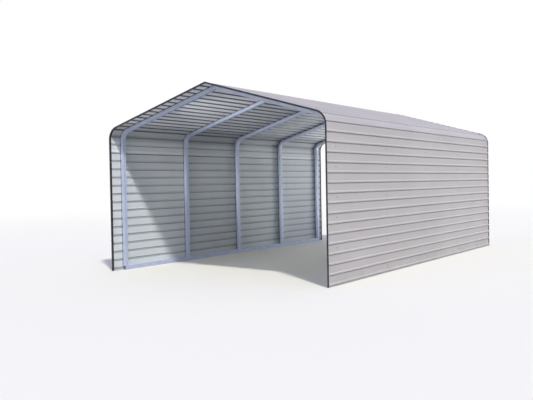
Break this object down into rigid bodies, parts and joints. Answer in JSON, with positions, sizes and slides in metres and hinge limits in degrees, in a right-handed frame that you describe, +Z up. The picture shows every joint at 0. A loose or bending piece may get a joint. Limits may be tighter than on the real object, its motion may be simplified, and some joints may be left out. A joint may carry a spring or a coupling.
{
  "type": "carport",
  "caption": "Gable-roofed carport shelter with rounded eaves, ribbed metal walls and roof on square tube hoops, open at both ends.",
  "frame": {"origin": "middle of the footprint, at the underside of the base rails", "axes": "+X to the right as seen from the front, +Y from the front opening to the rear opening, +Z up"},
  "size_m": [3.5992, 5.9994, 2.56],
  "materials": {
    "frame_tube": "pale grey-blue galvanised and sealed square tube, satin",
    "frame_fitting": "pale grey-blue galvanised bent fittings, satin",
    "wall_sheet": "warm cream-white coated ribbed steel sheet, satin, lightly dusty at the foot",
    "roof_sheet": "warm cream-white coated ribbed steel sheet, satin",
    "edge_trim": "near-black coated edge trim, satin"
  },
  "bodies": {
    "root": {"left_base_rail": "frame_tube", "right_base_rail": "frame_tube", "hoop_1_left_leg": "frame_tube", "hoop_1_right_leg": "frame_tube", "hoop_1_left_rafter": "frame_tube", "hoop_1_right_rafter": "frame_tube", "hoop_2_left_leg": "frame_tube", "hoop_2_right_leg": "frame_tube", "hoop_2_left_rafter": "frame_tube", "hoop_2_right_rafter": "frame_tube", "hoop_3_left_leg": "frame_tube", "hoop_3_right_leg": "frame_tube", "hoop_3_left_rafter": "frame_tube", "hoop_3_right_rafter": "frame_tube", "hoop_4_left_leg": "frame_tube", "hoop_4_right_leg": "frame_tube", "hoop_4_left_rafter": "frame_tube", "hoop_4_right_rafter": "frame_tube", "hoop_5_left_leg": "frame_tube", "hoop_5_right_leg": "frame_tube", "hoop_5_left_rafter": "frame_tube", "hoop_5_right_rafter": "frame_tube", "left_eave_elbows": "frame_fitting", "right_eave_elbows": "frame_fitting", "ridge_connectors": "frame_fitting", "left_lower_wall_sheet": "wall_sheet", "left_upper_wall_sheet": "wall_sheet", "left_eave_sheet": "roof_sheet", "left_lower_roof_sheet": "roof_sheet", "left_upper_roof_sheet": "roof_sheet", "right_lower_wall_sheet": "wall_sheet", "right_upper_wall_sheet": "wall_sheet", "right_eave_sheet": "roof_sheet", "right_lower_roof_sheet": "roof_sheet", "right_upper_roof_sheet": "roof_sheet", "ridge_cap": "roof_sheet", "front_wall_trims": "edge_trim", "front_eave_trims": "edge_trim", "front_slope_trims": "edge_trim", "rear_wall_trims": "edge_trim", "rear_eave_trims": "edge_trim", "rear_slope_trims": "edge_trim"}
  },
  "joints": []
}
